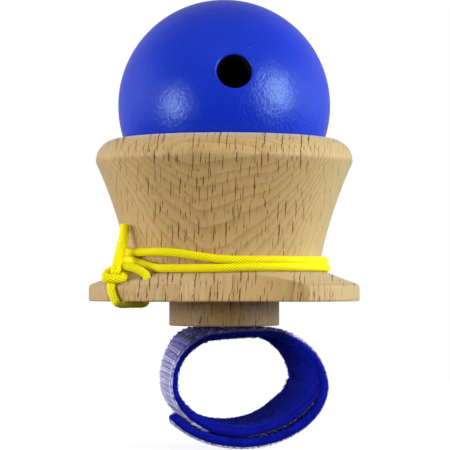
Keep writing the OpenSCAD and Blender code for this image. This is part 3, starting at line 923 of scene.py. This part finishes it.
class Band:
    """A stretch of the strap: places on it by length along it, place across it and height off its middle."""

    def __init__(self, line, turns, start, end):
        s = along(line)
        self.s = np.linspace(start, end, round((end - start) / STRAP_STEP) + 1)
        fine = unit(np.gradient(line, axis=0))
        rows = [line[:, 0], line[:, 1], fine[:, 0], fine[:, 1], turns]
        self.x, self.z, tx, tz, self.turn = [np.interp(self.s, s, row) for row in rows]
        size = np.hypot(tx, tz)
        self.nx, self.nz = -tz / size, tx / size

    def at(self, s, y, off):
        askew = END_SKEW * smooth((self.turn_at(s) - SKEW_FROM) / (TAIL_END - SKEW_FROM))
        s = s - askew * (y / HALF_W + 1) / 2
        x, z, nx, nz = [np.interp(s, self.s, row) for row in (self.x, self.z, self.nx, self.nz)]
        return flared(x + nx * off, y, z + nz * off)

    def turn_at(self, s):
        """Angle round the loop, in degrees."""
        return np.interp(s, self.s, self.turn)

    def within(self, s, start, grow, end, fade):
        """Share by which a place lies in a stretch round the loop, from 0 outside it to 1 well inside."""
        turn = self.turn_at(s)
        return smooth((turn - start) / grow) * smooth((end - turn) / fade)

    def layer(self, s, which):
        """Height off the middle of one of the layers: FACE, BACK or TIPS."""
        turns, heights = [row[0] for row in LAYERS], [row[which] for row in LAYERS]
        return np.interp(self.turn_at(s), turns, heights)


def band_outline(round_share, step):
    """Closed outline across a band as (place across, share of its thickness), from -1 to 1 and 0 to 1."""
    flat = np.linspace(-0.95, 0.95, round(1.9 * HALF_W / step))
    near = np.array([[-1, 1], [-1, round_share], [-0.985, 0.35 * round_share], [-0.97, 0.1 * round_share]])
    back = np.linspace(0.98, -0.98, 24)
    return np.concatenate([near, np.stack([flat, 0 * flat], 1), near[::-1] * [-1, 1],
                           np.stack([back, 0 * back + 1], 1)])


def band_grid(band, outline, half_w):
    """Place along, place across and share of the thickness, at each point round a band."""
    s, y = np.meshgrid(band.s, outline[:, 0] * half_w, indexing="ij")
    return s, y, np.broadcast_to(outline[:, 1], s.shape)


def band_mesh(band, s, y, off):
    """Points and faces of a band that is closed at both ends."""
    return band.at(s, y, off).reshape(-1, 3), [f[::-1] for f in closed_faces(*s.shape)]


THREAD_SIDES = 3


def bent_threads(paths, radius):
    """Points and faces of many thin threads, each along its own row of points."""
    count, steps, _ = paths.shape
    tangents = unit(np.gradient(paths, axis=1))
    helper = np.where(np.abs(tangents[..., 1:2]) < 0.8, [[0.0, 1.0, 0.0]], [[1.0, 0.0, 0.0]])
    n = unit(np.cross(tangents, helper))
    b = np.cross(tangents, n)
    a = 2 * math.pi * np.arange(THREAD_SIDES) / THREAD_SIDES
    ring = np.cos(a)[:, None] * n[..., None, :] + np.sin(a)[:, None] * b[..., None, :]
    points = paths[..., None, :] + np.asarray(radius)[..., None, None] * ring
    faces = []
    for i in range(count):
        faces += closed_faces(steps, THREAD_SIDES, first=i * steps * THREAD_SIDES)
    return points.reshape(-1, 3), faces


def join_parts(*parts):
    """One list of points and one of faces from several."""
    points, faces, first = [], [], 0
    for p, f in parts:
        points.append(p)
        faces += [tuple(first + k for k in face) for face in f]
        first += len(p)
    return np.concatenate(points), faces


def lumps(a, b, seed):
    """Two sizes of lumps at each of many places, from about -1 to 1."""
    def height(u, v):
        broad, fine = Vector((u * 1.9, v * 1.9, seed)), Vector((u * 4.3, v * 4.3, seed + 6))
        return noise.noise(broad) + 0.7 * noise.noise(fine)

    return np.vectorize(height)(a, b)


# Stretches round the loop, in degrees: where each starts, over how many it grows, where it ends and over how
# many it fades. Those from -1 start with the strap.
CLINGS = 450, 15, 485, 15
# This stretch is painted shade on the pile by the boss
PILE_SHADED_BY_BOSS = 200, 30, 318, 30
# This stretch and the next, and the second and third on the line after, are painted shade on the hooks by the
# boss and under the outer end
HOOKS_SHADED_BY_BOSS = 190, 55, 312, 22
DIM_BY_BOSS = 190, 30, 335, 25
COVERED, COVERED_DARK, COVERED_DIM = (-1, 1, 150, 8), (-1, 1, 134, 15), (-1, 1, 162, 10)
EDGE_HIDDEN = 85, 10, 124, 8
SHEET_FREE = 150, 20, 345, 20
SIDE_ON = 130, 15, 222, 35

PILE_UNEVEN, EDGE_UNEVEN, PILE_IN = 0.12, 0.22, 0.08
# The outer end's pile clings to the hooks along its edges
CLING = 0.25
# Painted light on the pile's edges and on its loose loops
PILE_EDGE_SHADE, THREAD_SHADE, FACE_SHARE = 0.2, 0.8, 0.93
# The pile's face is painted paler toward its near edge, where more light falls, and its edges are painted
# dark by the boss, for its shade
NEAR_SHADE, FAR_SHADE, BOSS_SHADE = 0.45, -0.2, 0.75


def pile_body(band, screw_s, end_s):
    """The pile as one thick uneven band, sunk in under the washer and rounded off at its outer end."""
    outline = band_outline(0.4, 0.35)
    s, y, share = band_grid(band, outline, HALF_W - PILE_IN)
    face, back = band.layer(s, FACE), band.layer(s, BACK)
    tuft, ragged = lumps(s, y, 3.0), lumps(s * 1.3, share * 2.0, 20.0)
    under_washer = smooth((DENT_R + DENT_EDGE - np.hypot(s - screw_s, y)) / DENT_EDGE)
    dent = under_washer * (back - DENT_LEVEL - face) * (1 - share)
    clings = CLING * band.within(s, *CLINGS) * (1 - share)
    at_edge = smooth((np.abs(y) - HALF_W + 0.8) / 0.6) * np.sign(y)
    shift = dent - PILE_UNEVEN * tuft * (1 - share) * (1 - under_washer) - clings * np.abs(at_edge)
    to_end = np.sqrt(np.maximum(1 - np.clip((s - end_s + END_ROUND) / END_ROUND, 0, 0.98) ** 2, 0))
    off = face * to_end + (back * to_end - face * to_end) * share + shift
    points, faces = band_mesh(band, s, y + EDGE_UNEVEN * ragged * at_edge, off)

    across = np.broadcast_to(outline[:, 0], s.shape)
    on_face = (share == 0) & (np.abs(across) < FACE_SHARE)
    face_shade = FAR_SHADE + (NEAR_SHADE - FAR_SHADE) * smooth((0.2 - across) / 1.1)
    # Painted shade by the boss on the edges
    edge_shade = PILE_EDGE_SHADE - BOSS_SHADE * band.within(s, *PILE_SHADED_BY_BOSS)
    return points, faces, np.where(on_face, face_shade, edge_shade).ravel()


THREAD_R, THREAD_STEPS = 0.045, 6
EDGE_THREADS, EDGE_DEPTH, FACE_REACH = 0.55, 0.7, 9.3
LOOP_RISE, LOOP_WIDTH, LOOP_LEAN = (0.2, 0.5), (0.15, 0.4), (-0.3, 0.3)
BESIDE_WASHER, EDGE_OUT, EDGE_SPREAD = (6.5, 9.5), (-0.7, 0.1), (0.4, 0.8)


def pile_threads(band, count, screw_s, rng):
    """Small loops of yarn that stand out of the pile, most of them along its two edges, and their shade."""
    bend = np.linspace(0, math.pi, THREAD_STEPS)
    paths, in_boss_shade = np.zeros((count, THREAD_STEPS, 3)), np.zeros(count)
    for i in range(count):
        at_edge = rng.random() < EDGE_THREADS
        s = rng.uniform(band.s[0] + 0.2, band.s[-1] - 0.2)
        if at_edge:
            y = rng.choice((-1, 1)) * (HALF_W - rng.uniform(0.0, EDGE_DEPTH))
        else:
            y = rng.uniform(-FACE_REACH, FACE_REACH)
        if math.hypot(s - screw_s, y) < DENT_R + 1.0:
            y = math.copysign(rng.uniform(*BESIDE_WASHER), y)
        rise, width = rng.uniform(*LOOP_RISE), rng.uniform(*LOOP_WIDTH)
        turn, lean = rng.uniform(0, math.tau), rng.uniform(*LOOP_LEAN)
        face, back = band.layer(s, FACE), band.layer(s, BACK)
        if at_edge:
            base, out = rng.uniform(face, back - 0.2), rng.uniform(*EDGE_OUT)
            spread = math.copysign(rng.uniform(*EDGE_SPREAD), y)
        else:
            base, out, spread = face + 0.12, -1.0, lean
        step, up = width * np.cos(bend), rise * np.sin(bend)
        paths[i] = band.at(s + step * math.cos(turn) + lean * up,
                           y + step * math.sin(turn) * 0.6 + spread * up, base + out * up)
        in_boss_shade[i] = band.within(s, *PILE_SHADED_BY_BOSS)
    # Loops by the boss are painted dark, for its shade
    shade = np.repeat(THREAD_SHADE - BOSS_SHADE * in_boss_shade, THREAD_STEPS * THREAD_SIDES)
    return *bent_threads(paths, np.full(paths.shape[:2], THREAD_R)), shade


ROW_PITCH, HOOK_PITCH, HOOK_R = 1.25, 0.18, 0.04
RIB_W, RIB_TOP_W, RIB_H, RIB_POINTS = 1.24, 1.06, 0.34, 40
# Hooks stand in a line along each rib, apart from a share that has been bent out of it
IN_LINE, LINE_PLACE, BENT_SHADE = 0.85, 0.2, 0.7
LINE_OFF, LINE_TALL = (-0.05, 0.05), (0.9, 1.0)
BENT_OFF, BENT_TALL = (-0.5, 0.5), (0.6, 0.95)
# How far from the strap's edges the rows end, where the outer end covers them, and more where it hides them
BARE_EDGE, COVERED_EDGE, HIDDEN_IN = 0.9, 0.3, 1.7
HOOK_RISE = np.array([0.0, 0.55, 0.95, 0.8])
HOOK_BEND = np.array([0, 0.03, 0.14, 0.28])
HOOK_THIN = np.array([1.3, 1.1, 1.0, 0.7])
# Painted light and shade along each hook and round each rib: paler at the top, darker low down
HOOK_SHADES = np.array([0.3, 0.5, 0.85, 1.0])
RIB_SHADES = np.array([0.14, 0.42, 0.34, 0.1])
# Painted glints: a share of hooks at full paleness, the hooks near the ends of bright rows, and the ribs'
# brighter near ends
GLINT_SHARE, BRIGHT_END, RIB_END_GLOW = 0.09, 0.55, 2.6
# The hooks are painted pale at large, for the light through them, painted darker for the shade under the boss
# and the outer end, and every other row is painted dimmer, for the light that falls on it
PALE, HOOK_SHADE_LOSS, COVERED_SHADE_LOSS = 1.3, 1.25, 1.27
DIM, DIM_LOSS = 0.82, 0.4
# They are painted paler toward the far edge, for the light that comes through there
NEAR_PALE, FAR_MORE = 0.8, 0.5
# The sheet is mottled and painted pale along its edges, for the light through them
SHEET_SHADE, EDGE_PALE, PALE_IN = 0.1, 0.75, 1.2
SHEET_IN, SHEET_SUNK = 0.1, 0.02


def bare_edge(band, s):
    """How far from the strap's edges the rows of hooks end."""
    covered = band.within(s, *COVERED)
    return BARE_EDGE * (1 - covered) + COVERED_EDGE * covered + HIDDEN_IN * band.within(s, *EDGE_HIDDEN)


# Painted light on the hooks, less painted shade under the boss and the outer end
def hook_painted_light(band, s):
    boss_shaded, covered = band.within(s, *HOOKS_SHADED_BY_BOSS), band.within(s, *COVERED_DARK)
    return PALE - HOOK_SHADE_LOSS * boss_shaded - COVERED_SHADE_LOSS * covered


# Every other row is painted dimmer, and more so in the painted shade by the boss and under the outer end
def dim_row(band, s):
    return DIM - DIM_LOSS * band.within(s, *DIM_BY_BOSS) - DIM_LOSS * band.within(s, *COVERED_DIM)


def pale_across(y):
    return NEAR_PALE + FAR_MORE * (y / HALF_W + 1) / 2


def sheet_top(band, s):
    """Height off the strap's middle of the sheet that the hooks stand on."""
    thick = SHEET_T + (FREE_SHEET_T - SHEET_T) * band.within(s, *SHEET_FREE)
    return np.minimum(band.layer(s, BACK) + thick, band.layer(s, TIPS) - 0.05)


def hook_row(band, s, bright, rng):
    """One low rib across the strap with its hooks: the rib's points and shades, and the hooks'."""
    # At the side that nothing covers, painted light evens the rows into one pale face
    pale, blur = float(hook_painted_light(band, s)), float(band.within(s, *SIDE_ON))
    low, tip = float(sheet_top(band, s)) - 0.04, float(band.layer(s, TIPS))
    top = max(min(low + 0.04 + RIB_H, tip - 0.1), low + 0.1)
    rise = max(tip - top, 0.1)
    reach = HALF_W - float(bare_edge(band, s))
    paths, shades = [], []
    for y in np.arange(-reach + 0.05, reach, HOOK_PITCH):
        in_line = rng.random() < IN_LINE
        off_line = rng.uniform(*LINE_OFF) if in_line else rng.uniform(*BENT_OFF) * ROW_PITCH
        tall = rise * rng.uniform(*(LINE_TALL if in_line else BENT_TALL))
        at = np.clip(s + LINE_PLACE + off_line, band.s[0], band.s[-1] - 0.4)
        paths.append(band.at(at + HOOK_BEND, y + rng.uniform(*LINE_OFF), top + tall * HOOK_RISE))
        look = pale * (bright if in_line else BENT_SHADE) * (1 - 0.5 * blur) * pale_across(y)
        # Painted glints at the near ends of bright rows
        if bright == 1.0 and reach - abs(y) < BRIGHT_END and pale > 0.2:
            look = 1.0
        shades.append(HOOK_SHADES * (1 if rng.random() < GLINT_SHARE else min(look, 1)))
    y = np.linspace(-reach, reach, RIB_POINTS)
    corners = ((-RIB_W / 2, low), (-RIB_TOP_W / 2, top), (RIB_TOP_W / 2, top), (RIB_W / 2, low))
    rib = np.stack([band.at(s + a + 0 * y, y, b + 0 * y) for a, b in corners], 1).reshape(-1, 3)
    # The ribs' near ends are painted brighter, as glints
    ends = 1 + RIB_END_GLOW * smooth((np.abs(y) - reach + 0.9) / 0.6)
    rib_pale = pale * bright * (1 + 0.1 * blur) * (pale_across(y) * ends)[:, None]
    return rib, np.minimum(RIB_SHADES * rib_pale, 1), paths, shades


def hook_rows(band, rng):
    """Low ribs across the strap with bent hooks standing on them, and the shade of their points."""
    rib_faces = closed_faces(RIB_POINTS, 4)
    ribs, rib_shades, paths, hook_shades = [], [], [], []
    for i in range(int((band.s[-1] - band.s[0] - 0.4) / ROW_PITCH)):
        at = band.s[0] + ROW_PITCH * (i + 0.5)
        bright = 1.0 if i % 2 else float(dim_row(band, at))
        rib, rib_shade, row_paths, row_shades = hook_row(band, at, bright, rng)
        ribs.append((rib, rib_faces))
        rib_shades.append(rib_shade)
        paths += row_paths
        hook_shades += row_shades
    paths = np.array(paths)
    thick = np.full(paths.shape[:2], HOOK_R) * HOOK_THIN
    hook_shade = np.repeat(np.array(hook_shades).ravel(), THREAD_SIDES)
    points, faces = join_parts(*ribs, bent_threads(paths, thick))
    return points, faces, np.concatenate([np.array(rib_shades).ravel(), hook_shade])


def hook_sheet(band):
    """The thin clear sheet that the hooks stand on, drawn in where the outer end hides its edge."""
    outline = band_outline(0.5, 0.8)
    s, y, share = band_grid(band, outline, HALF_W - SHEET_IN)
    drawn_in = np.maximum(bare_edge(band, s) - BARE_EDGE, 0) * smooth((np.abs(y) - 7) / 3)
    low = band.layer(s, BACK) - SHEET_SUNK
    off = low + (sheet_top(band, s) - low) * share
    points, faces = band_mesh(band, s, y - np.sign(y) * drawn_in, off)

    across = np.broadcast_to(outline[:, 0] * HALF_W, s.shape)
    # Painted light along the sheet's edges, mottled, less painted shade where the hooks are dark
    mottle = np.clip(0.4 + 2.2 * lumps(s * 0.9, across, 40.0), 0, 1)
    at_edge = smooth((np.abs(across) - HALF_W + PALE_IN) / 0.6) * mottle
    pale = np.clip(hook_painted_light(band, s), 0, 1)
    return points, faces, (pale * (SHEET_SHADE + (EDGE_PALE - SHEET_SHADE) * at_edge)).ravel()


def shaded_piece(name, material, *parts):
    """One piece from parts that each have points, faces and shades."""
    piece = make_mesh(name, *join_parts(*(part[:2] for part in parts)), material)
    set_shade(piece, np.concatenate([part[2] for part in parts]))
    return piece


STRAP_SEED = 7
THREADS = {"loop": 4200, "tail": 1700}
SHEET_SHORT = 0.5


def make_strap():
    rng = random.Random(STRAP_SEED)
    line, turns = strap_line()
    s = along(line)
    peel_s, end_s = np.interp(PEEL_AT, turns, s), s[-1]
    top = np.abs(line[:, 1] - line[:, 1].max()) < 0.01
    screw_s = float(np.interp(0, line[top][:, 0], s[top]))

    for name, start, end in (("loop", 0, peel_s), ("tail", peel_s, end_s)):
        band = Band(line, turns, start, end)
        pile_piece = shaded_piece(f"strap_pile_{name}_band", pile, pile_body(band, screw_s, end_s),
                                  pile_threads(band, THREADS[name], screw_s, rng))
        sheet = hook_sheet(Band(line, turns, start, min(end, end_s - SHEET_SHORT)))
        hook_piece = shaded_piece(f"strap_hook_{name}_band", hook_plastic, sheet, hook_rows(band, rng))
        for kind, piece in (("pile", pile_piece), ("hook", hook_piece)):
            if name == "loop":
                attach(piece, "strap")
            else:
                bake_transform(piece)
            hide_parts(f"strap_{kind}_{name}")


make_strap()


# Solids that keep their own shape

def dress(node, material):
    data = frame["nodes"][node].data
    data.materials.clear()
    data.materials.append(material)


dress("strap_screw", steel)
dress("strap_washer", steel)
dress("stop_bead", bead_wood)


# Pale floor and soft studio light

FLOOR_GAP = 0.05
FLOOR_HALF = 3000.0
FLOOR_NEAR, FLOOR_FAR = 60.0, 420.0
WHITE, BLACK, FLOOR_GREY = (1, 1, 1, 1), (0, 0, 0, 1), (0.36, 0.36, 0.36, 1)
# Light from behind the toy, from before it, from above and from below
ROOM_BACK, ROOM_FRONT, ROOM_TOP, ROOM_LOW = [(g, g, g, 1) for g in (0.42, 0.1, 0.28, 0.03)]


def make_floor():
    """A pale floor that takes a soft shadow near the toy and fades into the white further off."""
    material, tree = new_material("floor", Roughness=0.9, Specular_IOR_Level=0, Emission_Color=WHITE)
    away = add(tree, "ShaderNodeVectorMath", {0: place_mm(tree)}, operation="LENGTH").outputs[1]
    far = ramp(away, FLOOR_NEAR, FLOOR_FAR)
    set_shader(material, Base_Color=mix(far, FLOOR_GREY, BLACK), Emission_Strength=scaled(far, 0.2, 0.8))
    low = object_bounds()[0].z / MM - FLOOR_GAP
    corners = [(x * FLOOR_HALF, y * FLOOR_HALF, low) for x, y in ((-1, -1), (1, -1), (1, 1), (-1, 1))]
    floor = make_mesh("floor", corners, [(0, 1, 2, 3)], material)
    floor.visible_diffuse = False
    floor.visible_glossy = False


def make_light(name, right, up, toward, width, height, power, mirrored=True, colour=(1, 1, 1)):
    """A soft box that faces the ball, placed by steps from it, and mirrored in gloss or not."""
    data = bpy.data.lights.new(name, "AREA")
    data.shape = "ELLIPSE"
    data.size, data.size_y = width * MM, height * MM
    data.energy = power
    data.color = colour
    light = new_object(name, data)
    step = RIGHT * right + UP * up + TOWARD * toward
    light.location = Vector((BALL_PLACE + step) * MM)
    light.rotation_euler = Vector(-step).to_track_quat("-Z", "Y").to_euler()
    light.visible_camera = False
    light.visible_glossy = mirrored


def make_world():
    """A white room to the eye, whose light comes mostly from behind and above."""
    world = bpy.data.worlds.new("studio")
    bpy.context.scene.world = world
    world.use_nodes = True
    tree = world.node_tree
    x, y, z = parts_of(add(tree, "ShaderNodeTexCoord").outputs["Generated"])
    front = maths("ADD", times(x, TOWARD[0]), times(y, TOWARD[1]))
    light = mix(ramp(front, -0.6, 0.45), ROOM_BACK, ROOM_FRONT)
    light = mix(ramp(z, 0.2, 0.95), light, ROOM_TOP)
    light = mix(ramp(z, -0.35, 0.0), ROOM_LOW, light)
    seen = add(tree, "ShaderNodeLightPath").outputs["Is Camera Ray"]
    link(tree.nodes["Background"].inputs["Color"], mix(seen, light, WHITE))


make_floor()
COOL = (0.75, 1.0, 1.05)
make_light("soft_box_left", -822, -50, 570, 290, 440, 5.2)
make_light("fill_left", -822, -50, 570, 460, 550, 5.4, mirrored=False)
make_light("soft_box_right", 835, 190, 507, 490, 630, 8.9)
make_light("rim_left", -960, 150, -260, 700, 700, 6.2, mirrored=False)
make_light("rim_right", 960, 150, -260, 700, 700, 9, mirrored=False, colour=COOL)
make_light("high_fill", 0, 850, 700, 800, 800, 1.8, mirrored=False)
make_world()
bpy.context.scene.view_settings.view_transform = "Standard"
